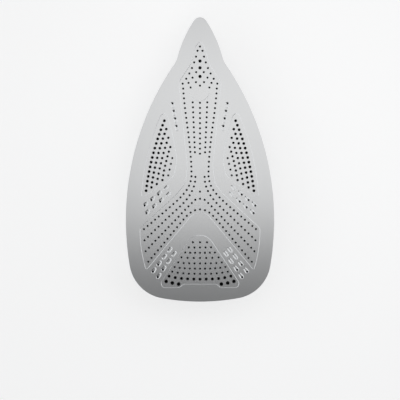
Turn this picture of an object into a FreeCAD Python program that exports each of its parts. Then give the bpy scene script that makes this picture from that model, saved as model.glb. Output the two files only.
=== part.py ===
import FreeCAD, Part
import math
import os

# Steam iron soleplate unit, in millimetres.
# It lies on its back: the ironing face looks up (+Z), the nose points along +Y,
# and the nose peg and the two heel posts on the back stand on z = 0.

Vector = FreeCAD.Vector
UP = Vector(0, 0, 1)
RIGHT = Vector(1, 0, 0)
SIDES = (1, -1)

SIZES = {
    # Outline of the sole, a chain of tangent arcs.
    "sole_length": 230.0,
    "sole_width": 120.0,
    "widest_from_nose": 164.0,
    "flank_radius": 222.0,
    "nose_flank_radius": 99.0,
    "tip_radius": 5.9,
    "neck_from_nose": 35.4,
    "neck_radius": 18.0,
    "heel_radius": 171.0,
    "heel_corner_radius": 32.0,
    # Pressed steel sole.
    "sole_thickness": 1.0,
    "rim_depth": 5.0,
    "rim_chamfer": 0.6,
    "panel_depth": 0.25,
    # Steam holes.
    "fine_hole": 1.1,
    "leaf_hole_outer": 1.7,
    "leaf_hole_second": 1.55,
    "leaf_hole_third": 1.4,
    "leaf_hole_fourth": 1.35,
    "nose_hole": 2.0,
    "fan_hole": 1.85,
    "heel_hole": 2.4,
    # Pressed scoops between the panels.
    "scoop_length": 4.8,
    "scoop_width": 2.0,
    "scoop_depth": 0.6,
    "open_scoop_depth": 1.6,
    # Aluminium casting.
    "casting_thickness": 8.0,
    "rim_clearance": 0.3,
    "steam_pocket_depth": 2.0,
    "steam_port_width": 8.0,
    "steam_port_length": 5.0,
    "steam_port_spread": 28.0,
    "steam_port_from_nose": 150.0,
    "post_height": 16.0,
    "post_diameter": 9.0,
    "post_bore": 3.3,
    "post_bore_depth": 12.0,
    "nose_peg_from_nose": 28.0,
    "heel_post_from_edge": 11.3,
    # Ridge that the heating element is cast into, and the two ends of the element.
    "ridge_width": 12.0,
    "ridge_height": 10.5,
    "bend_radius": 16.0,
    "bend_from_nose": 64.0,
    "end_spread": 66.0,
    "ridge_end_from_heel": 34.0,
    "sheath_diameter": 8.0,
    "sheath_drop": 4.5,
    "sheath_depth": 12.0,
    "sheath_stub": 5.0,
    "insulator_diameter": 6.0,
    "insulator_length": 5.0,
    "tab_width": 6.3,
    "tab_thickness": 0.8,
    "tab_length": 12.0,
    # Steam chamber between the legs of the ridge.
    "rear_wall_from_heel": 48.0,
    "rear_wall_thickness": 8.0,
    "seal_thickness": 0.8,
    "seal_width": 3.0,
    "seal_from_middle": 2.0,
    "cover_thickness": 1.0,
    "cover_overlap": 5.0,
    "water_inlet": 9.0,
    "inlet_from_nose": 84.0,
    "stud_width": 2.4,
    "stud_length": 5.0,
    "stud_from_middle": 2.6,
    "stud_proud": 1.0,
    "stud_play": 0.1,
    # Seat for the temperature switch, and the earth tab behind it.
    "switch_seat_width": 24.0,
    "switch_seat_length": 16.0,
    "switch_seat_height": 5.0,
    "switch_seat_from_heel": 26.0,
    "switch_bore": 3.3,
    "switch_bore_depth": 7.0,
    "switch_bore_spread": 14.0,
    "earth_tab_from_heel": 10.0,
    "earth_foot_length": 8.0,
    "earth_tab_height": 9.0,
    "earth_stud": 3.0,
}

doc = FreeCAD.newDocument("iron_soleplate")
sheet = doc.addObject("Spreadsheet::Sheet", "Sizes")
for row_number, (alias, value) in enumerate(SIZES.items(), start=1):
    cell = "B%d" % row_number
    sheet.set("A%d" % row_number, alias)
    sheet.set(cell, str(value))
    sheet.setAlias(cell, alias)
doc.recompute()


def size(alias):
    """Value of a driving dimension, read back from the sheet."""
    return float(getattr(sheet, alias))


def bound(alias):
    """Expression that ties a property to a cell of the sheet."""
    return "Sizes." + alias


# Levels above the surface that the unit lies on, as expressions on the sheet.
BACK = "Sizes.post_height"
CASTING_FACE = "(Sizes.post_height + Sizes.casting_thickness)"
FACE = "(Sizes.post_height + Sizes.casting_thickness + Sizes.sole_thickness)"
RIDGE_TOP = "(Sizes.post_height - Sizes.ridge_height)"
SEAL_TOP = "(Sizes.post_height - Sizes.ridge_height - Sizes.seal_thickness)"
SEAT_TOP = "(Sizes.post_height - Sizes.switch_seat_height)"
STANDING = "0"

back_level = size("post_height")
casting_face_level = back_level + size("casting_thickness")
face_level = casting_face_level + size("sole_thickness")
sheath_level = back_level - size("sheath_drop")
nose_y = size("sole_length") / 2
heel_y = -size("sole_length") / 2

# The face pattern was drawn on a sole of this size, and stretches with it.
PATTERN_LENGTH = 230.0
PATTERN_WIDTH = 120.0


def on_face(across, from_nose):
    """Point of the face pattern: distance from the centre line and from the nose."""
    stretch_x = size("sole_width") / PATTERN_WIDTH
    stretch_y = size("sole_length") / PATTERN_LENGTH
    return Vector(across * stretch_x, nose_y - from_nose * stretch_y, 0)


def mirrored(point):
    return Vector(-point.x, point.y, point.z)


# Outline


def circle_crossing(centre_a, radius_a, centre_b, radius_b, prefer):
    """Crossing of two circles, the one furthest along the direction prefer."""
    apart = centre_b - centre_a
    distance = apart.Length
    along = (distance**2 + radius_a**2 - radius_b**2) / (2 * distance)
    aside = math.sqrt(radius_a**2 - along**2)
    foot = centre_a + apart * (along / distance)
    step = UP.cross(apart) * (aside / distance)
    return max((foot + step, foot - step), key=lambda point: point.dot(prefer))


def toward(centre, through, radius):
    """Point at the given radius from centre, in the direction of through."""
    direction = through - centre
    return centre + direction * (radius / direction.Length)


def arc_about(centre, start, end):
    """Arc of less than half a turn about centre."""
    middle = toward(centre, (start + end) / 2, (start - centre).Length)
    return Part.Arc(start, middle, end)


def flank_centre():
    """Centre of the right flank's arc."""
    across = size("sole_width") / 2 - size("flank_radius")
    return Vector(across, nose_y - size("widest_from_nose"), 0)


def heel_centre():
    """Centre of the heel's arc."""
    return Vector(0, heel_y + size("heel_radius"), 0)


def heel_corner():
    """Centre of the arc that joins the right flank to the heel."""
    corner_r = size("heel_corner_radius")
    flank_reach = size("flank_radius") - corner_r
    heel_reach = size("heel_radius") - corner_r
    return circle_crossing(flank_centre(), flank_reach, heel_centre(), heel_reach, RIGHT)


def sole_outline(inset=0.0):
    """Outline of the sole, moved inwards by inset: ten tangent arcs."""
    flank_r = size("flank_radius")
    nose_r = size("nose_flank_radius")
    tip_r = size("tip_radius")
    neck_r = size("neck_radius")
    heel_r = size("heel_radius")

    flank = flank_centre()
    heel = heel_centre()
    corner = heel_corner()
    tip = Vector(0, nose_y - tip_r, 0)
    neck_drop = size("widest_from_nose") - size("neck_from_nose")
    neck_corner = flank + Vector(math.sqrt(flank_r**2 - neck_drop**2), neck_drop, 0)
    nose = circle_crossing(neck_corner, nose_r, tip, nose_r - tip_r, -RIGHT)
    neck = circle_crossing(nose, nose_r + neck_r, flank, flank_r + neck_r, RIGHT)

    chain = [
        (nose, toward(nose, tip, nose_r - inset), toward(nose, neck, nose_r - inset)),
        (neck, toward(neck, nose, neck_r + inset), toward(neck, flank, neck_r + inset)),
        (flank, toward(flank, neck, flank_r - inset), toward(flank, corner, flank_r - inset)),
        (corner, toward(flank, corner, flank_r - inset), toward(heel, corner, heel_r - inset)),
    ]
    edges = []
    for centre, start, end in chain:
        edges.append(arc_about(centre, start, end))
        edges.append(arc_about(mirrored(centre), mirrored(start), mirrored(end)))
    tip_start = chain[0][1]
    heel_start = chain[-1][2]
    edges.append(Part.Arc(tip_start, Vector(0, nose_y - inset, 0), mirrored(tip_start)))
    edges.append(Part.Arc(heel_start, Vector(0, heel_y + inset, 0), mirrored(heel_start)))
    return edges


# Panels of the face


def stroke(*points):
    """One edge through hand-chosen pattern points: two give a line, three an arc."""
    placed = [on_face(*point) for point in points]
    if len(placed) == 2:
        return Part.LineSegment(*placed)
    return Part.Arc(*placed)


def flipped(points):
    return [(-across, from_nose) for across, from_nose in points]


def y_panel():
    """Nose point, neck and two legs that spread towards the heel."""
    half = [
        [(0, 19.2), (3.4, 23.5)],
        [(3.4, 23.5), (7.4, 38.0)],
        [(7.4, 38.0), (17.0, 52.5)],
        [(17.0, 52.5), (10.1, 121.0)],
        [(10.1, 121.0), (11.9, 134.5)],
        [(11.9, 134.5), (18.0, 142.3)],
        [(18.0, 142.3), (48.4, 170.6)],
        [(48.4, 170.6), (47.6, 185.0), (43.4, 204.2)],
        [(43.4, 204.2), (8.0, 161.3)],
    ]
    edges = []
    for points in half:
        edges.append(stroke(*points))
        edges.append(stroke(*flipped(points)))
    edges.append(stroke((8.0, 161.3), (0, 157.6), (-8.0, 161.3)))
    return edges


def leaf_panel(side):
    """Side panel between the neck and the flank; side is 1 on the right, -1 on the left."""
    outline = [
        [(29.0, 77.4), (26.4, 80.2)],
        [(26.4, 80.2), (21.9, 97.0), (18.8, 116.5)],
        [(18.8, 116.5), (21.2, 128.2)],
        [(21.2, 128.2), (29.6, 135.0)],
        [(29.6, 135.0), (47.3, 145.6)],
        [(47.3, 145.6), (41.0, 106.1), (31.6, 79.4)],
        [(31.6, 79.4), (29.0, 77.4)],
    ]
    if side < 0:
        outline = [flipped(points) for points in outline]
    return [stroke(*points) for points in outline]


def fan_panel():
    """Arched panel at the heel, open at the bottom over a bare strip."""
    half = [
        [(10.2, 182.5), (31.6, 214.6)],
        [(31.6, 214.6), (30.2, 218.4)],
        [(30.2, 218.4), (16.5, 218.4)],
        [(16.5, 218.4), (13.7, 215.6)],
    ]
    edges = []
    for points in half:
        edges.append(stroke(*points))
        edges.append(stroke(*flipped(points)))
    edges.append(stroke((10.2, 182.5), (0, 176.4), (-10.2, 182.5)))
    edges.append(stroke((13.7, 215.6), (-13.7, 215.6)))
    return edges


# Steam holes and scoops

FINE = "fine_hole"

# Each row: hole size, number of holes, points of a smooth line through their centres,
# given as distance from the centre line and distance from the nose.
SIDE_ROWS = [
    # Y panel, nose
    (FINE, 7, [(2.0, 27.0), (4.7, 36.4), (8.6, 45.4), (14.0, 53.6)]),
    (FINE, 3, [(3.1, 44.3), (5.8, 48.4), (9.3, 53.0)]),
    (FINE, 2, [(3.3, 52.4), (7.6, 56.7)]),
    # Y panel, neck
    (FINE, 19, [(13.6, 57.6), (10.6, 85.4), (7.2, 116.9), (6.9, 128.6)]),
    (FINE, 11, [(5.9, 68.7), (4.1, 109.1)]),
    # Y panel, legs
    (FINE, 15, [(7.6, 132.5), (10.8, 139.6), (15.8, 145.6), (27.5, 156.1), (36.4, 163.7), (45.3, 171.2)]),
    (FINE, 18, [(3.7, 129.0), (5.0, 136.9), (10.8, 147.2), (22.1, 158.4), (33.6, 169.3), (44.9, 180.3)]),
    (FINE, 16, [(3.8, 147.5), (9.4, 152.9), (20.1, 164.1), (30.8, 175.2), (44.0, 189.1)]),
    (FINE, 15, [(4.0, 156.0), (7.6, 157.9), (13.4, 163.6), (23.8, 176.0), (34.1, 188.5), (41.9, 197.6)]),
    # Leaf panels, from the flank inwards
    ("leaf_hole_outer", 16, [(28.8, 83.6), (38.6, 113.4), (43.6, 140.2)]),
    ("leaf_hole_second", 13, [(27.3, 90.4), (33.6, 109.8), (39.3, 137.5)]),
    ("leaf_hole_third", 10, [(25.6, 97.4), (30.6, 113.9), (34.9, 134.8)]),
    ("leaf_hole_fourth", 8, [(24.0, 104.9), (27.3, 116.3), (30.4, 131.6)]),
    (FINE, 4, [(22.4, 113.8), (25.7, 127.8)]),
    # Fan panel, the large holes at its heel corners
    ("heel_hole", 3, [(17.3, 215.7), (22.4, 214.8), (27.4, 213.5)]),
]
CENTRE_ROWS = [
    (FINE, 1, [(0, 23.6)]),
    ("nose_hole", 1, [(0, 35.3)]),
    ("nose_hole", 1, [(0, 40.8)]),
    ("nose_hole", 1, [(0, 47.8)]),
    (FINE, 1, [(0, 55.2)]),
    (FINE, 11, [(0, 69.1), (0, 110.3)]),
    (FINE, 1, [(0, 140.9)]),
    (FINE, 1, [(0, 146.7)]),
    (FINE, 1, [(0, 155.3)]),
]
# Rows of the fan panel: hole size, number of holes, pitch, distance from the nose.
FAN_ROWS = [
    (FINE, 3, 5.7, 181.9),
    (FINE, 5, 4.5, 186.1),
    (FINE, 7, 4.0, 190.4),
    (FINE, 7, 5.0, 194.6),
    (FINE, 9, 4.4, 199.0),
    (FINE, 11, 4.1, 203.2),
    (FINE, 11, 4.5, 207.4),
    ("fan_hole", 11, 5.0, 211.7),
]
FAN_ROW_BEND = 6500.0

# The holes are cut with few flats, so that some four hundred of them stay light.
HOLE_FLATS = 4
CUT_PAST = 0.5


def row_points(points, count):
    """Evenly spaced points along a smooth line through the given pattern points."""
    placed = [on_face(*point) for point in points]
    if count == 1:
        return placed
    line = Part.BSplineCurve()
    line.interpolate(placed)
    return line.discretize(Number=count)


def fan_row_points(count, pitch, from_nose):
    """Row of the fan panel, its ends bent towards the nose."""
    points = []
    for index in range(count):
        across = (index - (count - 1) / 2) * pitch
        rise = abs(across) ** 3 / FAN_ROW_BEND
        points.append(on_face(across, from_nose - rise))
    return points


def steam_holes():
    """Centre and diameter of every steam hole."""
    holes = []
    for alias, count, points in SIDE_ROWS:
        for centre in row_points(points, count):
            holes.append((centre, size(alias)))
            holes.append((mirrored(centre), size(alias)))
    for alias, count, points in CENTRE_ROWS:
        for centre in row_points(points, count):
            holes.append((centre, size(alias)))
    for alias, count, pitch, from_nose in FAN_ROWS:
        for centre in fan_row_points(count, pitch, from_nose):
            holes.append((centre, size(alias)))
    return holes


def hole_cutter(centre, diameter):
    """Prism with the section area of a round hole, right through the sheet."""
    turn = 2 * math.pi / HOLE_FLATS
    reach = diameter / 2 * math.sqrt(turn / math.sin(turn))
    foot = casting_face_level - CUT_PAST
    corners = []
    for index in range(HOLE_FLATS + 1):
        angle = turn * (index + 0.5)
        spoke = Vector(reach * math.cos(angle), reach * math.sin(angle), foot)
        corners.append(centre + spoke)
    return Part.Face(Part.makePolygon(corners)).extrude(UP * (size("sole_thickness") + 2 * CUT_PAST))


# Each group of scoops, on the right: first and last centre, their number, how many of the first
# ones are blind, and the direction from the shallow to the deep end, in degrees from +X.
SCOOP_ROWS = [
    ((22.0, 70.9), (18.7, 89.3), 4, 0, 80),
    ((27.3, 137.8), (43.8, 151.1), 4, 1, -47),
    ((25.6, 143.1), (42.4, 157.3), 4, 1, -47),
    ((24.3, 187.9), (37.3, 204.6), 4, 2, -53),
    ((21.0, 191.2), (33.3, 209.0), 4, 2, -53),
]


def scoop_cutter(centre, degrees, depth):
    """Ramp that runs down from the face to its deep end."""
    half = size("scoop_length") / 2
    width = size("scoop_width")
    corners = [
        Vector(-half, -width / 2, 0),
        Vector(-half, -width / 2, CUT_PAST),
        Vector(half, -width / 2, CUT_PAST),
        Vector(half, -width / 2, -depth),
    ]
    profile = Part.Face(Part.makePolygon(corners + corners[:1]))
    ramp = profile.extrude(Vector(0, width, 0))
    turn = FreeCAD.Rotation(UP, degrees)
    ramp.Placement = FreeCAD.Placement(Vector(centre.x, centre.y, face_level), turn)
    return ramp


def scoop_cutters():
    cutters = []
    for first, last, count, blind, degrees in SCOOP_ROWS:
        for index in range(count):
            share = index / (count - 1)
            across = first[0] + (last[0] - first[0]) * share
            from_nose = first[1] + (last[1] - first[1]) * share
            depth = size("scoop_depth" if index < blind else "open_scoop_depth")
            centre = on_face(across, from_nose)
            cutters.append(scoop_cutter(centre, degrees, depth))
            cutters.append(scoop_cutter(mirrored(centre), 180 - degrees, depth))
    return cutters


# Feature helpers


def new_body(name):
    return doc.addObject("PartDesign::Body", name)


def origin_plane(body, role):
    return next(item for item in body.Origin.OriginFeatures if item.Role == role)


def sketch_at(body, name, geometry, level):
    """Sketch parallel to the face, at a level given as an expression."""
    sketch = body.newObject("Sketcher::SketchObject", name + "_sketch")
    sketch.AttachmentSupport = [(origin_plane(body, "XY_Plane"), "")]
    sketch.MapMode = "FlatFace"
    sketch.setExpression("AttachmentOffset.Base.z", level)
    sketch.addGeometry(geometry, False)
    return sketch


def add(kind, body, name, geometry, level, length, upwards):
    """Pad or Pocket of a closed outline, from a level upwards or downwards."""
    feature = body.newObject("PartDesign::" + kind, name)
    feature.Profile = sketch_at(body, name, geometry, level)
    feature.setExpression("Length", length)
    feature.Reversed = upwards if kind == "Pocket" else not upwards
    return feature


def ring(centre, diameter):
    return Part.Circle(Vector(centre.x, centre.y, 0), UP, diameter / 2)


def rectangle(centre, width, length):
    half_w = width / 2
    half_l = length / 2
    corners = [
        Vector(centre.x - half_w, centre.y - half_l, 0),
        Vector(centre.x + half_w, centre.y - half_l, 0),
        Vector(centre.x + half_w, centre.y + half_l, 0),
        Vector(centre.x - half_w, centre.y + half_l, 0),
    ]
    return polygon(corners)


def polygon(corners):
    return [Part.LineSegment(a, b) for a, b in zip(corners, corners[1:] + corners[:1])]


def cut(label, base, tool):
    result = doc.addObject("Part::Cut", label)
    result.Base = base
    result.Tool = tool
    result.Label = label
    return result


# Ridge and steam chamber


def ridge_leg(offset=0.0):
    """Right leg of the U-shaped ridge, moved outwards by offset.

    Gives the heel end of the leg, the point where it meets the nose bend, the nose of the bend,
    and the direction of the leg towards the heel.
    """
    radius = size("bend_radius")
    centre = Vector(0, nose_y - size("bend_from_nose"), 0)
    end = Vector(size("end_spread") / 2, heel_y + size("ridge_end_from_heel"), 0)
    reach = end - centre
    lean = math.degrees(math.asin(radius / reach.Length))
    direction = FreeCAD.Rotation(UP, -lean).multVec(reach / reach.Length)
    outwards = UP.cross(direction)
    meet = centre + outwards * (radius + offset)
    leg_length = math.sqrt(reach.Length**2 - radius**2)
    nose = centre + Vector(0, radius + offset, 0)
    return meet + direction * leg_length, meet, nose, direction


def ridge_outline():
    """Closed outline of the U-shaped ridge."""
    edges = []
    ends = []
    for offset in (size("ridge_width") / 2, -size("ridge_width") / 2):
        end, meet, nose, direction = ridge_leg(offset)
        edges.append(Part.LineSegment(end, meet))
        edges.append(Part.LineSegment(mirrored(end), mirrored(meet)))
        edges.append(Part.Arc(meet, nose, mirrored(meet)))
        ends.append(end)
    edges.append(Part.LineSegment(*ends))
    edges.append(Part.LineSegment(*[mirrored(end) for end in ends]))
    return edges


def chamber_outline(offset):
    """Closed loop over the ridge and the rear wall, offset from their middle line."""
    end, meet, nose, direction = ridge_leg(offset)
    rear_y = heel_y + size("rear_wall_from_heel") - offset
    rear = meet + direction * ((rear_y - meet.y) / direction.y)
    return [
        Part.LineSegment(rear, meet),
        Part.Arc(meet, nose, mirrored(meet)),
        Part.LineSegment(mirrored(meet), mirrored(rear)),
        Part.LineSegment(mirrored(rear), rear),
    ]


# Places of the cover's studs along a leg, as shares of the way from the bend to the rear wall.
STUD_SHARES = (0.08, 0.5, 0.92)


def cover_studs(play=0.0):
    """Edges of the studs that hold the cover, three on each leg, larger by play all round."""
    end, meet, nose, direction = ridge_leg(size("stud_from_middle"))
    outwards = UP.cross(direction)
    run = (meet.y - heel_y - size("rear_wall_from_heel")) / -direction.y
    along = direction * (size("stud_length") / 2 + play)
    aside = outwards * (size("stud_width") / 2 + play)
    edges = []
    for share in STUD_SHARES:
        centre = meet + direction * (run * share)
        heel_end = centre + along
        nose_end = centre - along
        corners = [heel_end + aside, heel_end - aside, nose_end - aside, nose_end + aside]
        edges += polygon(corners)
        edges += polygon([mirrored(corner) for corner in corners])
    return edges


def heel_posts():
    """Centres of the two posts, inside the rounded corners of the heel."""
    reach = size("heel_corner_radius") - size("heel_post_from_edge")
    right_post = heel_corner() + RIGHT * reach
    return [right_post, mirrored(right_post)]


def earth_point():
    return Vector(0, heel_y + size("earth_tab_from_heel"), 0)


# Sub-parts


def build_sole_plate():
    """Pressed steel sheet with a turned-down rim, sunk panels, scoops and steam holes."""
    body = new_body("sole_pressing")
    block = add("Pad", body, "sole_block", sole_outline(), FACE, bound("rim_depth"), upwards=False)
    doc.recompute()
    top = [
        "Edge%d" % number
        for number, edge in enumerate(block.Shape.Edges, start=1)
        if edge.BoundBox.ZMin > face_level - size("rim_depth") / 2
    ]
    chamfer = body.newObject("PartDesign::Chamfer", "rim_edge")
    chamfer.Base = (block, top)
    chamfer.setExpression("Size", bound("rim_chamfer"))
    inside = sole_outline(size("sole_thickness"))
    add("Pocket", body, "sole_inside", inside, CASTING_FACE, bound("rim_depth"), upwards=False)
    for name, edges in (
        ("y_panel", y_panel()),
        ("leaf_panel_right", leaf_panel(1)),
        ("leaf_panel_left", leaf_panel(-1)),
        ("fan_panel", fan_panel()),
    ):
        add("Pocket", body, name, edges, FACE, bound("panel_depth"), upwards=False)
    tools = doc.addObject("Part::Feature", "sole_cutters")
    tools.Shape = Part.makeCompound([hole_cutter(*hole) for hole in steam_holes()] + scoop_cutters())
    return cut("sole_plate", body, tools)


def steam_pocket():
    """Recess under the panels and the scoops, around the pads that the sheet rests on."""
    right_edge = [
        (0, 18.0),
        (8.0, 38.0),
        (18.5, 52.0),
        (31.0, 76.0),
        (47.0, 146.0),
        (50.5, 169.0),
        (45.0, 203.0),
        (33.0, 219.5),
    ]
    side_pad = [
        (11.5, 97.0),
        (17.3, 97.0),
        (16.8, 114.0),
        (18.6, 128.0),
        (22.0, 134.0),
        (15.0, 138.0),
        (10.5, 130.0),
        (9.6, 118.0),
    ]
    pads = [
        side_pad,
        flipped(side_pad),
        [(-5.0, 58.5), (5.0, 58.5), (4.0, 66.5), (-4.0, 66.5)],
        [(-3.5, 114.0), (3.5, 114.0), (2.2, 127.0), (-2.2, 127.0)],
        [(0, 160.5), (17.0, 181.0), (11.0, 181.0), (0, 174.0), (-11.0, 181.0), (-17.0, 181.0)],
    ]
    left_edge = flipped(right_edge[1:])
    edges = []
    for loop in [right_edge + left_edge[::-1]] + pads:
        edges += polygon([on_face(*point) for point in loop])
    return edges


def build_casting(sheaths):
    """Die-cast aluminium body with the element ridge, the steam chamber and the housing posts."""
    body = new_body("casting_body")
    inset = size("sole_thickness") + size("rim_clearance")
    add("Pad", body, "casting_plate", sole_outline(inset), BACK, bound("casting_thickness"), upwards=True)
    pocket = steam_pocket()
    add("Pocket", body, "steam_pocket", pocket, CASTING_FACE, bound("steam_pocket_depth"), upwards=False)

    add("Pad", body, "element_ridge", ridge_outline(), BACK, bound("ridge_height"), upwards=False)
    wall_y = heel_y + size("rear_wall_from_heel")
    wall_width = size("end_spread") - size("ridge_width")
    wall = rectangle(Vector(0, wall_y, 0), wall_width, size("rear_wall_thickness"))
    add("Pad", body, "chamber_rear_wall", wall, BACK, bound("ridge_height"), upwards=False)
    stud_reach = "Sizes.seal_thickness + Sizes.cover_thickness + Sizes.stud_proud"
    add("Pad", body, "cover_studs", cover_studs(), RIDGE_TOP, stud_reach, upwards=False)
    ports = []
    for side in SIDES:
        centre = Vector(side * size("steam_port_spread") / 2, nose_y - size("steam_port_from_nose"), 0)
        ports += rectangle(centre, size("steam_port_width"), size("steam_port_length"))
    add("Pocket", body, "steam_ports", ports, BACK, bound("casting_thickness"), upwards=True)

    nose_peg = Vector(0, nose_y - size("nose_peg_from_nose"), 0)
    posts = [ring(point, size("post_diameter")) for point in heel_posts() + [nose_peg]]
    bores = [ring(point, size("post_bore")) for point in heel_posts()]
    add("Pad", body, "housing_posts", posts, BACK, bound("post_height"), upwards=False)
    add("Pocket", body, "housing_bores", bores, STANDING, bound("post_bore_depth"), upwards=True)
    seat_centre = Vector(0, heel_y + size("switch_seat_from_heel"), 0)
    seat = rectangle(seat_centre, size("switch_seat_width"), size("switch_seat_length"))
    add("Pad", body, "switch_seat", seat, BACK, bound("switch_seat_height"), upwards=False)
    aside = RIGHT * (size("switch_bore_spread") / 2)
    bores = [ring(seat_centre + aside * side, size("switch_bore")) for side in SIDES]
    add("Pocket", body, "switch_bores", bores, SEAT_TOP, bound("switch_bore_depth"), upwards=True)
    stud = rectangle(earth_point(), size("earth_stud"), size("earth_stud"))
    stud_reach = "Sizes.tab_thickness + Sizes.stud_proud"
    add("Pad", body, "earth_stud", stud, BACK, stud_reach, upwards=False)

    tools = doc.addObject("Part::Compound", "sheath_seats")
    tools.Links = sheaths
    return cut("heater_casting", body, tools)


def rod_along(label, start, direction, diameter, length):
    """Round rod that starts at a point and runs along a direction; its sizes are expressions."""
    rod = doc.addObject("Part::Cylinder", label)
    rod.setExpression("Radius", diameter + " / 2")
    rod.setExpression("Height", length)
    rod.Placement = FreeCAD.Placement(start, FreeCAD.Rotation(UP, direction))
    rod.Label = label
    return rod


def leg_end(side):
    """Middle of the element where it leaves the ridge, and its direction."""
    end, meet, nose, direction = ridge_leg()
    end = end + UP * sheath_level
    if side < 0:
        return mirrored(end), mirrored(direction)
    return end, direction


def build_sheath_end(side):
    """Steel-sheathed end of the heating element, set into the heel end of the ridge."""
    end, direction = leg_end(side)
    start = end - direction * size("sheath_depth")
    length = "(Sizes.sheath_depth + Sizes.sheath_stub)"
    return rod_along("element_end_" + hand(side), start, direction, bound("sheath_diameter"), length)


def build_insulator(side):
    """Ceramic bead that closes the sheath."""
    end, direction = leg_end(side)
    start = end + direction * size("sheath_stub")
    label = "end_insulator_" + hand(side)
    return rod_along(label, start, direction, bound("insulator_diameter"), bound("insulator_length"))


def build_terminal_tab(side):
    """Push-on blade that stands out of the bead."""
    end, direction = leg_end(side)
    root = end + direction * (size("sheath_stub") + size("insulator_length"))
    tab = doc.addObject("Part::Box", "terminal_tab_" + hand(side))
    tab.setExpression("Length", bound("tab_length"))
    tab.setExpression("Width", bound("tab_width"))
    tab.setExpression("Height", bound("tab_thickness"))
    turn = FreeCAD.Rotation(RIGHT, direction)
    corner = turn.multVec(Vector(0, -size("tab_width") / 2, -size("tab_thickness") / 2))
    tab.Placement = FreeCAD.Placement(root + corner, turn)
    tab.Label = "terminal_tab_" + hand(side)
    return tab


def hand(side):
    return "right" if side > 0 else "left"


def build_seal():
    """Flat gasket on the ridge and the rear wall of the chamber, inside the studs."""
    body = new_body("chamber_seal")
    middle = -size("seal_from_middle")
    outer = chamber_outline(middle + size("seal_width") / 2)
    inner = chamber_outline(middle - size("seal_width") / 2)
    add("Pad", body, "seal_ring", outer + inner, RIDGE_TOP, bound("seal_thickness"), upwards=False)
    return body


def build_cover():
    """Sheet that closes the steam chamber, with slots for the studs and a water inlet."""
    body = new_body("chamber_cover")
    outline = chamber_outline(size("cover_overlap"))
    add("Pad", body, "cover_sheet", outline, SEAL_TOP, bound("cover_thickness"), upwards=False)
    slots = cover_studs(size("stud_play"))
    add("Pocket", body, "stud_slots", slots, SEAL_TOP, bound("cover_thickness"), upwards=False)
    inlet = ring(Vector(0, nose_y - size("inlet_from_nose"), 0), size("water_inlet"))
    add("Pocket", body, "inlet_hole", [inlet], SEAL_TOP, bound("cover_thickness"), upwards=False)
    return body


def build_earth_tab():
    """Bent blade for the earth lead, held by a square stud of the casting."""
    body = new_body("earth_tab")
    centre = earth_point()
    width = size("tab_width")
    foot_length = size("earth_foot_length")
    thickness = size("tab_thickness")
    stud = size("earth_stud") + 2 * size("stud_play")
    blade_centre = centre + Vector(0, (foot_length - thickness) / 2, 0)
    foot = rectangle(centre, width, foot_length)
    hole = rectangle(centre, stud, stud)
    blade = rectangle(blade_centre, width, thickness)
    add("Pad", body, "earth_foot", foot + hole, BACK, bound("tab_thickness"), upwards=False)
    add("Pad", body, "earth_blade", blade, BACK, bound("earth_tab_height"), upwards=False)
    return body


sheath_ends = [build_sheath_end(side) for side in SIDES]
nodes = [build_sole_plate(), build_casting(sheath_ends)] + sheath_ends
nodes += [build_insulator(side) for side in SIDES]
nodes += [build_terminal_tab(side) for side in SIDES]
nodes += [build_seal(), build_cover(), build_earth_tab()]
doc.recompute()

for item in doc.Objects:
    if "Invalid" in item.State or "Error" in item.State:
        raise RuntimeError("%s did not compute: %s" % (item.Name, item.State))
    if item.TypeId == "PartDesign::Pocket" and item.Shape.Volume >= item.BaseFeature.Shape.Volume:
        raise RuntimeError("%s cuts nothing" % item.Name)
for node in nodes:
    if node.Shape.isNull() or not node.Shape.isValid() or node.Shape.Volume <= 0:
        raise RuntimeError("%s has no valid solid" % node.Label)

os.makedirs("parts", exist_ok=True)
for node in nodes:
    node.Shape.exportStep("parts/%s.step" % node.Label)
    print(node.Label, len(node.Shape.Solids), "solids", round(node.Shape.Volume, 2), "mm3")
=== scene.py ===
"""Steam iron soleplate unit. It lies on its back on a pale floor, seen from straight above."""

import math

import bpy
import numpy as np
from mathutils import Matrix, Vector
from mathutils.geometry import delaunay_2d_cdt


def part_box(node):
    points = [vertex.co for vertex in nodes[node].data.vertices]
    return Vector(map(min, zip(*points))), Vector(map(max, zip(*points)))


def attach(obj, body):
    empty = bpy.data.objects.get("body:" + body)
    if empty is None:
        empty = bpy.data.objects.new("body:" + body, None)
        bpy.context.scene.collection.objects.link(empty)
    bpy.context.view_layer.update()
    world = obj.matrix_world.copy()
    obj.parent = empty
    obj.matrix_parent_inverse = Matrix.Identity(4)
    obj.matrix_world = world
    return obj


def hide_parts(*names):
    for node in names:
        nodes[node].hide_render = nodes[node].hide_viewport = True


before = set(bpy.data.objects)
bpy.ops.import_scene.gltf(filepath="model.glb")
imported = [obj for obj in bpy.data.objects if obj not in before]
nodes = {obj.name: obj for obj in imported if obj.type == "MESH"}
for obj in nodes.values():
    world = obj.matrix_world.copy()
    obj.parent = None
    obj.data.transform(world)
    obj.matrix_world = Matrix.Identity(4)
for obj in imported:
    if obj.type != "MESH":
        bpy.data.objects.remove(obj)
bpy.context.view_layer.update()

# Lengths of the sole are in millimetres until its mesh is made.
MM = 0.001
UP = np.array((0.0, 0.0, 1.0))

# Levels of the sole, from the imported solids: ironing face, foot of the rim, underside of the sheet.
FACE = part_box("sole_plate")[1].z / MM
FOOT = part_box("sole_plate")[0].z / MM
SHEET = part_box("heater_casting")[1].z / MM

# Just under the floor of the casting's steam pocket.
POCKET_FLOOR = 21.9

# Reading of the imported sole. Vertices this close are one point, and faces this flat are level.
SAME_POINT = 0.001
LEVEL_TOLERANCE = 0.002
# Square holes have sides along the axes, within this; the slits of open scoops don't.
SQUARE_TOLERANCE = 0.001
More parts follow.
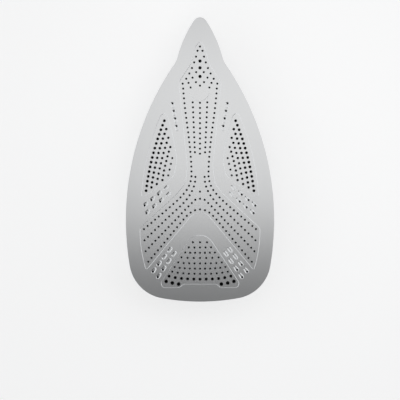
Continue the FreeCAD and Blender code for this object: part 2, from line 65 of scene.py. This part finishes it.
# A slit this near to a scoop's centre is its own. A blind scoop's deep end has points this far
# below the face and this near to its centre.
SLIT_REACH = 2.0
DEEP_END_DEPTH = 0.3
SCOOP_REACH = 3.0
# A square hole's half diagonal, compared with the radius of a round hole of the same area.
SQUARE_TO_ROUND = math.sqrt(math.pi / 2)

# Edge of the sheet.
OUTLINE_STEP = 1.2
RIM_RADIUS = 0.25
RIM_STEPS = 4
RIM_WALL = 1.0

# Sunk panels: a slope of this width leads down to the panel's floor. Corners are rounded from
# this far before to this far after them, but over no more than a share of a side.
PANEL_DEPTH = 0.25
PANEL_STEP = 2.0
BORDER_WIDTH = 0.3
CORNER_CUT = 3.0
CORNER_SHARE = 0.45
CORNER_POINTS = 7

# Steam holes are this much wider in radius at the face, so that no fabric catches on their edges.
FLARE = 0.34
HOLE_POINTS = 14
WIDE_HOLE_RADIUS = 0.7
WIDE_HOLE_POINTS = 20

# Rings of a scoop, from its edge down: shift towards the deep end, half length, radius of the
# shallow and of the deep end, depth. An open scoop widens to its deep end, where it has a hole.
OPEN_SCOOP = [
    (0.0, 2.7, 1.45, 1.7, 0.0),
    (0.0, 2.6, 1.35, 1.6, 0.05),
    (0.08, 2.28, 0.95, 1.22, 0.3),
    (0.2, 2.0, 0.55, 0.87, 0.55),
    (1.34, 0.81, 0.8, 0.8, 0.57),
]
BLIND_SCOOP = [
    (0.0, 2.7, 1.45, 1.45, 0.0),
    (0.0, 2.6, 1.35, 1.35, 0.05),
    (0.0, 2.2, 0.95, 0.95, 0.3),
    (0.0, 1.8, 0.55, 0.55, 0.55),
]
SCOOP_POINTS = 24

# Shallow pressed arc on the neck: distance of its centre from the nose, radius, first and last
# direction, and half width and depth of its rings.
ARC_FROM_NOSE = 59.3
ARC_RADIUS = 8.3
ARC_FIRST = math.radians(195)
ARC_LAST = math.radians(345)
ARC_RINGS = [(0.5, 0.0), (0.38, 0.07), (0.1, 0.08)]
ARC_POINTS = 32

# Settings of the triangulation: triangles up to the hull, and the distance of points that merge.
HULL_TRIANGLES = 0
MERGE_DISTANCE = 1e-6


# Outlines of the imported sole


def level_loops(node, level):
    """Counter-clockwise loops of points where the flat faces of a node at this level end."""
    mesh = nodes[node].data
    points = []
    number_of = {}
    numbers = []
    for vertex in mesh.vertices:
        point = [c / MM for c in vertex.co]
        key = tuple(round(c / SAME_POINT) for c in point)
        if key not in number_of:
            number_of[key] = len(points)
            points.append(point)
        numbers.append(number_of[key])
    edges = {}
    for polygon in mesh.polygons:
        corners = [numbers[v] for v in polygon.vertices]
        if any(abs(points[c][2] - level) > LEVEL_TOLERANCE for c in corners):
            continue
        for edge in zip(corners, corners[1:] + corners[:1]):
            edges[edge] = True
    following = {a: b for a, b in edges if (b, a) not in edges}
    loops = []
    while following:
        start, current = following.popitem()
        loop = [start]
        while current != start:
            loop.append(current)
            current = following.pop(current)
        loops.append(counter_clockwise(np.array([points[c][:2] for c in loop])))
    return loops


def area(loop):
    x, y = loop[:, 0], loop[:, 1]
    return 0.5 * float(np.dot(x, np.roll(y, -1)) - np.dot(y, np.roll(x, -1)))


def counter_clockwise(loop):
    return loop if area(loop) > 0 else loop[::-1]


def smooth_loop(loop, step):
    """Closed curve through the loop's points, with points about a step apart."""
    result = []
    count = len(loop)
    for i in range(count):
        p0, p1, p2, p3 = (loop[(i + k) % count] for k in (-1, 0, 1, 2))
        s0, s1, s2 = (math.sqrt(np.linalg.norm(b - a)) for a, b in ((p0, p1), (p1, p2), (p2, p3)))
        # Slopes at both ends of the stretch from p1 to p2.
        out = ((p1 - p0) / s0 - (p2 - p0) / (s0 + s1) + (p2 - p1) / s1) * s1
        back = ((p2 - p1) / s1 - (p3 - p1) / (s1 + s2) + (p3 - p2) / s2) * s1
        pieces = math.ceil(np.linalg.norm(p2 - p1) / step)
        for k in range(pieces):
            t = k / pieces
            result.append(
                (2 * t**3 - 3 * t**2 + 1) * p1
                + (t**3 - 2 * t**2 + t) * out
                + (3 * t**2 - 2 * t**3) * p2
                + (t**3 - t**2) * back
            )
    return np.array(result)


def rounded_loop(loop):
    """The loop with rounded corners, and with points along its sides."""
    result = []
    count = len(loop)
    for i in range(count):
        before, corner, after = loop[i - 1], loop[i], loop[(i + 1) % count]
        to_before, to_after = before - corner, after - corner
        cut_before = min(CORNER_CUT, CORNER_SHARE * np.linalg.norm(to_before))
        cut_after = min(CORNER_CUT, CORNER_SHARE * np.linalg.norm(to_after))
        cut = min(cut_before, cut_after)
        start = corner + to_before / np.linalg.norm(to_before) * cut
        end = corner + to_after / np.linalg.norm(to_after) * cut
        for t in np.linspace(0, 1, CORNER_POINTS):
            result.append((1 - t) ** 2 * start + 2 * t * (1 - t) * corner + t**2 * end)
        side = after - end
        run = np.linalg.norm(side) - cut_after
        pieces = math.ceil(run / PANEL_STEP)
        for k in range(1, pieces):
            result.append(end + side / np.linalg.norm(side) * (run * k / pieces))
    return np.array(result)


def inwards(loop):
    """Unit vectors that point into a counter-clockwise loop."""
    along = np.roll(loop, -1, axis=0) - np.roll(loop, 1, axis=0)
    along /= np.linalg.norm(along, axis=1)[:, None]
    return np.stack((-along[:, 1], along[:, 0]), axis=1)


def inside(points, polygon):
    """Which of the points lie inside a polygon."""
    result = np.zeros(len(points), bool)
    x, y = points[:, 0], points[:, 1]
    for (ax, ay), (bx, by) in zip(polygon, np.roll(polygon, -1, axis=0)):
        if ay == by:
            continue
        crosses = (ay > y) != (by > y)
        result ^= crosses & (x < (bx - ax) * (y - ay) / (by - ay) + ax)
    return result


# New loops, counter-clockwise


def circle(centre, radius, count):
    turns = 2 * math.pi * np.arange(count) / count
    return centre + radius * np.stack((np.cos(turns), np.sin(turns)), axis=1)


def slot(centre, along, half_length, tail_radius, head_radius, count):
    """Slot with round ends; along points to its head."""
    aside = np.array((-along[1], along[0]))
    points = []
    for k in range(count):
        turn = 2 * math.pi * (k + 0.5) / count
        radius = head_radius if math.cos(turn) > 0 else tail_radius
        forward = math.copysign(half_length - radius, math.cos(turn)) + radius * math.cos(turn)
        points.append(centre + along * forward + aside * (radius * math.sin(turn)))
    return np.array(points)


def arc_slot(centre, half_width):
    """Slot along the arc on the neck."""
    turns = np.linspace(ARC_FIRST, ARC_LAST, ARC_POINTS)
    rays = np.stack((np.cos(turns), np.sin(turns)), axis=1)
    outer = centre + (ARC_RADIUS + half_width) * rays
    inner = centre + (ARC_RADIUS - half_width) * rays[::-1]
    return np.concatenate((outer, inner))


# Mesh of the sheet


class Surface:
    """Vertices in millimetres, and faces with a normal at each corner."""

    def __init__(self):
        self.points = []
        self.faces = []
        self.normals = []

    def ring(self, loop, level):
        """Numbers of new vertices, one above or below each point of the loop."""
        first = len(self.points)
        self.points += [(p[0], p[1], level) for p in loop]
        return list(range(first, len(self.points)))

    def patch(self, rings, first_normal=None, last_normal=None):
        """Smooth bands between rings of equal length; each later ring lies inside or below."""
        quads = []
        for outer, inner in zip(rings, rings[1:]):
            for i in range(len(outer)):
                j = (i + 1) % len(outer)
                quads.append((outer[i], outer[j], inner[j], inner[i]))
        corners = np.array([[self.points[v] for v in quad] for quad in quads])
        facing = np.cross(corners[:, 2] - corners[:, 0], corners[:, 3] - corners[:, 1])
        sums = {}
        for quad, normal in zip(quads, facing):
            for v in quad:
                sums[v] = sums.get(v, 0) + normal
        for ring, forced in ((rings[0], first_normal), (rings[-1], last_normal)):
            if forced is not None:
                for v in ring:
                    sums[v] = forced
        for quad in quads:
            self.faces.append(quad)
            self.normals += [sums[v] / np.linalg.norm(sums[v]) for v in quad]

    def fill(self, outer, inners, upwards=True):
        """Flat triangles inside the outer ring and outside the inner ones."""
        loops = [outer] + inners
        vertices = [v for loop in loops for v in loop]
        flat = np.array([self.points[v][:2] for v in vertices])
        edges = []
        first = 0
        for loop in loops:
            edges += [(first + i, first + (i + 1) % len(loop)) for i in range(len(loop))]
            first += len(loop)
        _, _, faces, origins, _, _ = delaunay_2d_cdt(
            [Vector(p) for p in flat], edges, [], HULL_TRIANGLES, MERGE_DISTANCE, True
        )
        triangles = np.array([[origins[v][0] for v in face] for face in faces])
        middles = flat[triangles].mean(axis=1)
        keep = inside(middles, flat[: len(outer)])
        first = len(outer)
        for loop in inners:
            polygon = flat[first : first + len(loop)]
            first += len(loop)
            low, high = polygon.min(axis=0), polygon.max(axis=0)
            near = np.nonzero(((middles > low) & (middles < high)).all(axis=1))[0]
            keep[near] &= ~inside(middles[near], polygon)
        normal = UP if upwards else -UP
        for triangle in triangles[keep]:
            a, b, c = (vertices[n] for n in triangle)
            u, v, w = (flat[n] for n in triangle)
            turn = (v[0] - u[0]) * (w[1] - u[1]) - (v[1] - u[1]) * (w[0] - u[0])
            if (turn > 0) != upwards:
                b, c = c, b
            self.faces.append((a, b, c))
            self.normals += [normal] * 3

    def make(self, name):
        mesh = bpy.data.meshes.new(name)
        mesh.from_pydata([tuple(c * MM for c in p) for p in self.points], [], self.faces)
        mesh.polygons.foreach_set("use_smooth", [True] * len(mesh.polygons))
        mesh.normals_split_custom_set([tuple(n) for n in self.normals])
        piece = bpy.data.objects.new(name, mesh)
        bpy.context.scene.collection.objects.link(piece)
        return piece


def add_rim(surface, outline):
    """Rounded edge, wall and foot; returns the edges of the face and of the underside."""
    inward = inwards(outline)
    edge = []
    for k in range(RIM_STEPS + 1):
        turn = math.pi / 2 * k / RIM_STEPS
        inset = RIM_RADIUS * (1 - math.sin(turn))
        drop = RIM_RADIUS * (1 - math.cos(turn))
        edge.append(surface.ring(outline + inward * inset, FACE - drop))
    foot = surface.ring(outline, FOOT)
    inner_foot = surface.ring(outline + inward * RIM_WALL, FOOT)
    underside = surface.ring(outline + inward * RIM_WALL, SHEET)
    surface.patch(edge[::-1], last_normal=UP)
    surface.patch([foot, edge[-1]])
    surface.patch([inner_foot, foot])
    surface.patch([underside, inner_foot])
    return edge[0], underside


def deep_end(centre):
    """Direction from a blind scoop's centre to its deep end."""
    deep = []
    for vertex in nodes["sole_plate"].data.vertices:
        x, y, z = (c / MM for c in vertex.co)
        near = math.hypot(x - centre[0], y - centre[1]) < SCOOP_REACH
        if near and SHEET < z < FACE - DEEP_END_DEPTH:
            deep.append((x, y))
    return np.mean(deep, axis=0) - centre


def scoop_place(loop, slits):
    """Centre of a scoop, direction to its deep end, and whether it opens through the sheet."""
    # The longer sides run from the shallow to the deep end.
    if np.linalg.norm(loop[1] - loop[0]) < np.linalg.norm(loop[2] - loop[1]):
        loop = np.roll(loop, -1, axis=0)
    centre = loop.mean(axis=0)
    along = (loop[1] - loop[0]) / np.linalg.norm(loop[1] - loop[0])
    nearest = min(slits, key=lambda slit: np.linalg.norm(slit - centre))
    is_open = np.linalg.norm(nearest - centre) < SLIT_REACH
    deep_side = nearest - centre if is_open else deep_end(centre)
    if np.dot(deep_side, along) < 0:
        along = -along
    return centre, along, is_open


def add_scoop(surface, centre, along, is_open):
    """Pressed scoop; returns its edge, and its holes in the underside."""
    rings = []
    for shift, half_length, tail, head, depth in OPEN_SCOOP if is_open else BLIND_SCOOP:
        loop = slot(centre + along * shift, along, half_length, tail, head, SCOOP_POINTS)
        rings.append(surface.ring(loop, FACE - depth))
    if not is_open:
        surface.patch(rings, first_normal=UP)
        surface.fill(rings[-1], [])
        return rings[0], []
    surface.patch(rings[:3], first_normal=UP)
    surface.patch(rings[2:4])
    surface.patch(rings[3:])
    bottom = surface.ring([surface.points[v] for v in rings[-1]], SHEET)
    surface.patch([rings[-1], bottom])
    return rings[0], [bottom]


def add_hole(surface, centre, radius):
    """Steam hole in a panel; returns its edges in the panel and in the underside."""
    count = HOLE_POINTS if radius < WIDE_HOLE_RADIUS else WIDE_HOLE_POINTS
    top = surface.ring(circle(centre, radius + FLARE, count), FACE - PANEL_DEPTH)
    bottom = surface.ring(circle(centre, radius, count), SHEET)
    surface.patch([top, bottom])
    return top, bottom


def add_neck_arc(surface, centre):
    """Pressed arc in a panel; returns its edge."""
    rings = []
    for half_width, depth in ARC_RINGS:
        rings.append(surface.ring(arc_slot(centre, half_width), FACE - PANEL_DEPTH - depth))
    for band in zip(rings, rings[1:]):
        surface.patch(band)
    surface.fill(rings[-1], [])
    return rings[0]


def add_panel(surface, outline, holes, arc_centre):
    """Sunk panel with what lies in it; returns its edge, and its holes in the underside."""
    edge = surface.ring(outline - inwards(outline) * BORDER_WIDTH, FACE)
    border = surface.ring(outline, FACE - PANEL_DEPTH)
    surface.patch([edge, border])
    openings = []
    bottoms = []
    own = inside(np.array([centre for centre, radius in holes]), outline)
    for (centre, radius), is_own in zip(holes, own):
        if is_own:
            top, bottom = add_hole(surface, centre, radius)
            openings.append(top)
            bottoms.append(bottom)
    if inside(arc_centre[None], outline)[0]:
        openings.append(add_neck_arc(surface, arc_centre))
    surface.fill(border, openings)
    return edge, bottoms


def build_sole():
    """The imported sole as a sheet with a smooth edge, round holes and rounded scoops."""
    surface = Surface()
    outline = smooth_loop(max(level_loops("sole_plate", FOOT), key=area), OUTLINE_STEP)
    face_edge, underside = add_rim(surface, outline)

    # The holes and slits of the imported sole, among the loops of its underside.
    holes = []
    slits = []
    for loop in level_loops("sole_plate", SHEET):
        if len(loop) != 4:
            continue
        centre = loop.mean(axis=0)
        if abs(loop[1] - loop[0]).min() < SQUARE_TOLERANCE:
            holes.append((centre, np.linalg.norm(loop[0] - centre) / SQUARE_TO_ROUND))
        else:
            slits.append(centre)

    # The largest loop of the face is its own edge; the others are scoops and panels.
    face_loops = sorted(level_loops("sole_plate", FACE), key=area)[:-1]
    arc_centre = np.array((0.0, outline[:, 1].max() - ARC_FROM_NOSE))
    face_openings = []
    under_openings = []
    for loop in face_loops:
        if len(loop) == 4:
            edge, bottoms = add_scoop(surface, *scoop_place(loop, slits))
        else:
            edge, bottoms = add_panel(surface, rounded_loop(loop), holes, arc_centre)
        face_openings.append(edge)
        under_openings += bottoms
    surface.fill(face_edge, face_openings)
    surface.fill(underside, under_openings, upwards=False)
    return surface.make("sole_sheet")


sole = build_sole()
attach(sole, "root")
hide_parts("sole_plate")


# Shader nodes

# Most of a noise lies between these values.
NOISE_LOW = 0.3
NOISE_HIGH = 0.7


def new_material(name, metallic=0.0):
    material = bpy.data.materials.new(name)
    material.use_nodes = True
    tree = material.node_tree
    shader = tree.nodes["Principled BSDF"]
    shader.inputs["Metallic"].default_value = metallic
    return material, tree, shader


def noise(tree, scale, stretch=(1.0, 1.0, 1.0), detail=3.0):
    """Noise in the part's own coordinates, in features per metre, stretched per axis."""
    place = tree.nodes.new("ShaderNodeTexCoord")
    mapping = tree.nodes.new("ShaderNodeMapping")
    mapping.inputs["Scale"].default_value = stretch
    texture = tree.nodes.new("ShaderNodeTexNoise")
    texture.inputs["Scale"].default_value = scale
    texture.inputs["Detail"].default_value = detail
    tree.links.new(place.outputs["Object"], mapping.inputs["Vector"])
    tree.links.new(mapping.outputs["Vector"], texture.inputs["Vector"])
    return texture.outputs["Fac"]


def math_node(tree, operation, *values):
    node = tree.nodes.new("ShaderNodeMath")
    node.operation = operation
    for socket, value in zip(node.inputs, values):
        if isinstance(value, (int, float)):
            socket.default_value = value
        else:
            tree.links.new(value, socket)
    return node.outputs["Value"]


def product(tree, first, *others):
    for value in others:
        first = math_node(tree, "MULTIPLY", first, value)
    return first


def map_range(tree, value, span, low, high):
    node = tree.nodes.new("ShaderNodeMapRange")
    node.inputs["From Min"].default_value, node.inputs["From Max"].default_value = span
    node.inputs["To Min"].default_value = low
    node.inputs["To Max"].default_value = high
    tree.links.new(value, node.inputs["Value"])
    return node


def smooth_step(tree, value, span, low, high):
    """From low before the span to high after it, without a corner."""
    node = map_range(tree, value, span, low, high)
    node.interpolation_type = "SMOOTHSTEP"
    return node.outputs["Result"]


def color_between(tree, value, dark, light):
    node = tree.nodes.new("ShaderNodeValToRGB")
    first, last = node.color_ramp.elements
    first.position, first.color = NOISE_LOW, (*dark, 1.0)
    last.position, last.color = NOISE_HIGH, (*light, 1.0)
    tree.links.new(value, node.inputs["Fac"])
    return node.outputs["Color"]


def vary_color(tree, shader, value, dark, light):
    tree.links.new(color_between(tree, value, dark, light), shader.inputs["Base Color"])


def vary_roughness(tree, shader, value, low, high):
    node = map_range(tree, value, (NOISE_LOW, NOISE_HIGH), low, high)
    tree.links.new(node.outputs["Result"], shader.inputs["Roughness"])


def bump(tree, shader, value, strength, distance):
    node = tree.nodes.new("ShaderNodeBump")
    node.inputs["Strength"].default_value = strength
    node.inputs["Distance"].default_value = distance
    tree.links.new(value, node.inputs["Height"])
    tree.links.new(node.outputs["Normal"], shader.inputs["Normal"])


def dress(piece, material):
    piece.data.materials.clear()
    piece.data.materials.append(material)


# Materials

steel, tree, shader = new_material("sole_steel", metallic=1.0)
grain = noise(tree, scale=1800.0)
vary_color(tree, shader, noise(tree, scale=25.0), (0.725, 0.73, 0.735), (0.74, 0.745, 0.748))
vary_roughness(tree, shader, grain, 0.32, 0.345)
bump(tree, shader, grain, strength=0.04, distance=0.01 * MM)

# The steam pocket, from just under the sheet down to its floor, is painted near black as painted
# shade, so that the steam holes look dark.
cast, tree, shader = new_material("cast_aluminium")
skin = noise(tree, scale=1500.0, detail=5.0)
metal = color_between(tree, noise(tree, scale=60.0), (0.55, 0.56, 0.57), (0.64, 0.65, 0.66))
painted_pocket_shade = color_between(tree, noise(tree, scale=300.0), (0.008, 0.008, 0.009), (0.02, 0.02, 0.021))
place = tree.nodes.new("ShaderNodeTexCoord")
axes = tree.nodes.new("ShaderNodeSeparateXYZ")
tree.links.new(place.outputs["Object"], axes.inputs["Vector"])
# Above the pocket floor the colour is painted shade, not the metal's own colour.
pocket_shade_mask = math_node(tree, "GREATER_THAN", axes.outputs["Z"], POCKET_FLOOR * MM)
pocket_shade_mix = tree.nodes.new("ShaderNodeMix")
pocket_shade_mix.data_type = "RGBA"
tree.links.new(pocket_shade_mask, pocket_shade_mix.inputs["Factor"])
tree.links.new(metal, pocket_shade_mix.inputs["A"])
tree.links.new(painted_pocket_shade, pocket_shade_mix.inputs["B"])
tree.links.new(pocket_shade_mix.outputs["Result"], shader.inputs["Base Color"])
tree.links.new(math_node(tree, "SUBTRACT", 1.0, pocket_shade_mask), shader.inputs["Metallic"])
shader.inputs["Specular IOR Level"].default_value = 0.1
vary_roughness(tree, shader, skin, 0.42, 0.6)
bump(tree, shader, skin, strength=0.3, distance=0.1 * MM)

sheath, tree, shader = new_material("sheath_steel", metallic=1.0)
vary_color(tree, shader, noise(tree, scale=180.0), (0.38, 0.35, 0.31), (0.48, 0.46, 0.45))
vary_roughness(tree, shader, noise(tree, scale=900.0), 0.34, 0.5)

ceramic, tree, shader = new_material("insulator_ceramic")
shader.inputs["Roughness"].default_value = 0.55
vary_color(tree, shader, noise(tree, scale=400.0), (0.82, 0.8, 0.73), (0.88, 0.86, 0.81))
bump(tree, shader, noise(tree, scale=3000.0), strength=0.25, distance=0.05 * MM)

brass, tree, shader = new_material("terminal_brass", metallic=1.0)
rolled = noise(tree, scale=1500.0, stretch=(1.0, 0.1, 1.0))
vary_color(tree, shader, noise(tree, scale=150.0), (0.72, 0.59, 0.32), (0.81, 0.69, 0.42))
vary_roughness(tree, shader, rolled, 0.26, 0.38)

silicone, tree, shader = new_material("seal_silicone")
shader.inputs["Roughness"].default_value = 0.6
vary_color(tree, shader, noise(tree, scale=300.0), (0.45, 0.11, 0.07), (0.54, 0.16, 0.1))
bump(tree, shader, noise(tree, scale=2500.0), strength=0.2, distance=0.05 * MM)

cover_sheet, tree, shader = new_material("cover_aluminium", metallic=1.0)
rolled = noise(tree, scale=1200.0, stretch=(1.0, 0.05, 1.0))
vary_color(tree, shader, noise(tree, scale=40.0), (0.69, 0.7, 0.71), (0.75, 0.76, 0.77))
vary_roughness(tree, shader, rolled, 0.28, 0.4)
bump(tree, shader, rolled, strength=0.1, distance=0.03 * MM)

dress(sole, steel)
dress(nodes["heater_casting"], cast)
for side in ("right", "left"):
    dress(nodes["element_end_" + side], sheath)
    dress(nodes["end_insulator_" + side], ceramic)
    dress(nodes["terminal_tab_" + side], brass)
dress(nodes["earth_tab"], brass)
dress(nodes["chamber_seal"], silicone)
dress(nodes["chamber_cover"], cover_sheet)


# Stage

FLOOR_REACH = 6.0
FLOOR_GREY = 0.4
FLOOR_ROUGHNESS = 0.8
FLOOR_GLOW = 0.67


def seen_directly(tree):
    """1 for rays from the camera and from mirrors or glass, 0 for diffuse light."""
    path = tree.nodes.new("ShaderNodeLightPath")
    seen = path.outputs["Is Camera Ray"]
    for kind in ("Is Glossy Ray", "Is Transmission Ray"):
        seen = math_node(tree, "MAXIMUM", seen, path.outputs[kind])
    return seen


floor_mesh = bpy.data.meshes.new("floor")
corners = [(x * FLOOR_REACH, y * FLOOR_REACH, 0) for x, y in ((-1, -1), (1, -1), (1, 1), (-1, 1))]
floor_mesh.from_pydata(corners, [], [(0, 1, 2, 3)])
floor = bpy.data.objects.new("floor", floor_mesh)
bpy.context.scene.collection.objects.link(floor)
white, tree, shader = new_material("floor_white")
shader.inputs["Base Color"].default_value = (FLOOR_GREY, FLOOR_GREY, FLOOR_GREY, 1.0)
shader.inputs["Roughness"].default_value = FLOOR_ROUGHNESS
shader.inputs["Emission Color"].default_value = (1.0, 1.0, 1.0, 1.0)
glow = product(tree, seen_directly(tree), FLOOR_GLOW)
tree.links.new(glow, shader.inputs["Emission Strength"])
dress(floor, white)


# Studio

# Its walls are dim overhead and brightest near the horizon. The far wall is a little dimmer, and
# a dark panel stands towards the lower right. Heights are given as 1 minus the sine of the
# elevation, and sectors as the cosine of the angle from their middle.
STUDIO_TINT = (0.97, 0.985, 1.0, 1.0)
ZENITH_LIGHT = 0.11
WALL_LIGHT = 0.95
WALL_HEIGHTS = (0.1, 0.5)
HORIZON_SHARE = 1.25
HORIZON_HEIGHTS = (0.42, 0.62)
FAR_WALL_SHARE = 0.6
FAR_WALL_SECTOR = (0.75, 0.95)
DARK_PANEL_SHARE = 0.08
DARK_PANEL_SECTOR = (0.83, 0.93)
DARK_PANEL_TOP = (0.1, 0.25)
DARK_PANEL_FOOT = (0.75, 0.9)

world = bpy.data.worlds.new("studio")
world.use_nodes = True
tree = world.node_tree
background = tree.nodes["Background"]
background.inputs["Color"].default_value = STUDIO_TINT
direction = tree.nodes.new("ShaderNodeTexCoord")
axes = tree.nodes.new("ShaderNodeSeparateXYZ")
tree.links.new(direction.outputs["Generated"], axes.inputs["Vector"])
x, y, z = (axes.outputs[axis] for axis in "XYZ")
from_zenith = math_node(tree, "SUBTRACT", 1.0, math_node(tree, "ABSOLUTE", z))
walls = smooth_step(tree, from_zenith, WALL_HEIGHTS, ZENITH_LIGHT, WALL_LIGHT)
horizon = smooth_step(tree, from_zenith, HORIZON_HEIGHTS, 1.0, HORIZON_SHARE)

sideways = math_node(tree, "ADD", product(tree, x, x), product(tree, y, y))
sideways = math_node(tree, "SQRT", sideways)
to_far = math_node(tree, "DIVIDE", y, sideways)
far_wall = smooth_step(tree, to_far, FAR_WALL_SECTOR, 1.0, FAR_WALL_SHARE)

to_lower_right = math_node(
    tree,
    "DIVIDE",
    math_node(tree, "SUBTRACT", x, y),
    product(tree, sideways, math.sqrt(2.0)),
)
covered = product(
    tree,
    smooth_step(tree, from_zenith, DARK_PANEL_TOP, 0.0, 1.0),
    smooth_step(tree, from_zenith, DARK_PANEL_FOOT, 1.0, 0.0),
    smooth_step(tree, to_lower_right, DARK_PANEL_SECTOR, 0.0, 1.0),
)
dark_panel = math_node(tree, "SUBTRACT", 1.0, product(tree, covered, 1.0 - DARK_PANEL_SHARE))
strength = product(tree, walls, horizon, dark_panel, far_wall)
tree.links.new(strength, background.inputs["Strength"])
bpy.context.scene.world = world


# Lamp: a box straight above, which the face reflects.

BOX_LEFT = -0.13
BOX_RIGHT = 0.3
BOX_FROM = -0.067
BOX_TO = 0.2
BOX_HEIGHT = 0.34
BOX_RADIANCE = 0.93

box_width = BOX_RIGHT - BOX_LEFT
box_length = BOX_TO - BOX_FROM
box = bpy.data.lights.new("overhead_box", "AREA")
box.shape = "RECTANGLE"
box.size = box_width
box.size_y = box_length
box.energy = BOX_RADIANCE * math.pi * box_width * box_length
lamp = bpy.data.objects.new("overhead_box", box)
lamp.location = ((BOX_LEFT + BOX_RIGHT) / 2, (BOX_FROM + BOX_TO) / 2, BOX_HEIGHT)
lamp.visible_camera = False
bpy.context.scene.collection.objects.link(lamp)


# Camera: the frame is square, with this width at the ironing face.

VIEW_WIDTH = 0.3234
VIEW_DISTANCE = 1.6
VIEW_CENTRE_Y = -0.0327
SENSOR_WIDTH = 36.0

scene = bpy.context.scene
scene.view_settings.view_transform = "Standard"
camera_data = bpy.data.cameras.new("camera")
camera_data.sensor_width = SENSOR_WIDTH
camera_data.lens = SENSOR_WIDTH * VIEW_DISTANCE / VIEW_WIDTH
camera = bpy.data.objects.new("camera", camera_data)
camera.location = (0.0, VIEW_CENTRE_Y, FACE * MM + VIEW_DISTANCE)
scene.collection.objects.link(camera)
scene.camera = camera
